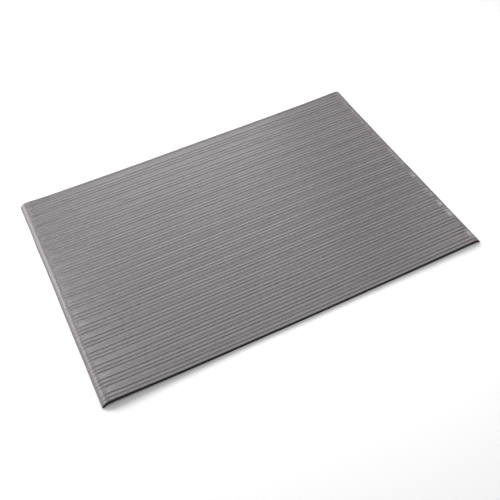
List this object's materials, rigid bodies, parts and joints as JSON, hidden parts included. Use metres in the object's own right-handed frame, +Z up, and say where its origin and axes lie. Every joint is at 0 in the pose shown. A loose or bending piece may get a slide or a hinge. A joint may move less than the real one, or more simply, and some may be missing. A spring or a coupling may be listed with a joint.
{
  "type": "anti fatigue mat",
  "caption": "Flat rectangular standing mat: a ribbed grey vinyl top on black closed-cell foam, with rounded tapers at the short ends and cut foam showing on the long sides.",
  "frame": {"origin": "centre of the flat underside, on the floor", "axes": "+X along the long side and the ribs, +Y across the ribs, +Z up through the thickness"},
  "size_m": [0.9144, 0.6096, 0.0095],
  "materials": {
    "ribbed_vinyl": "soft satin embossed vinyl, mid grey",
    "black_foam": "matt, fine open-cut cells of closed-cell sponge, near black",
    "base_rubber": "matt, fine pebbled non-slip skin, near black"
  },
  "bodies": {
    "root": {"wear_layer": "ribbed_vinyl", "foam_core": "black_foam", "base_skin": "base_rubber"}
  },
  "joints": []
}
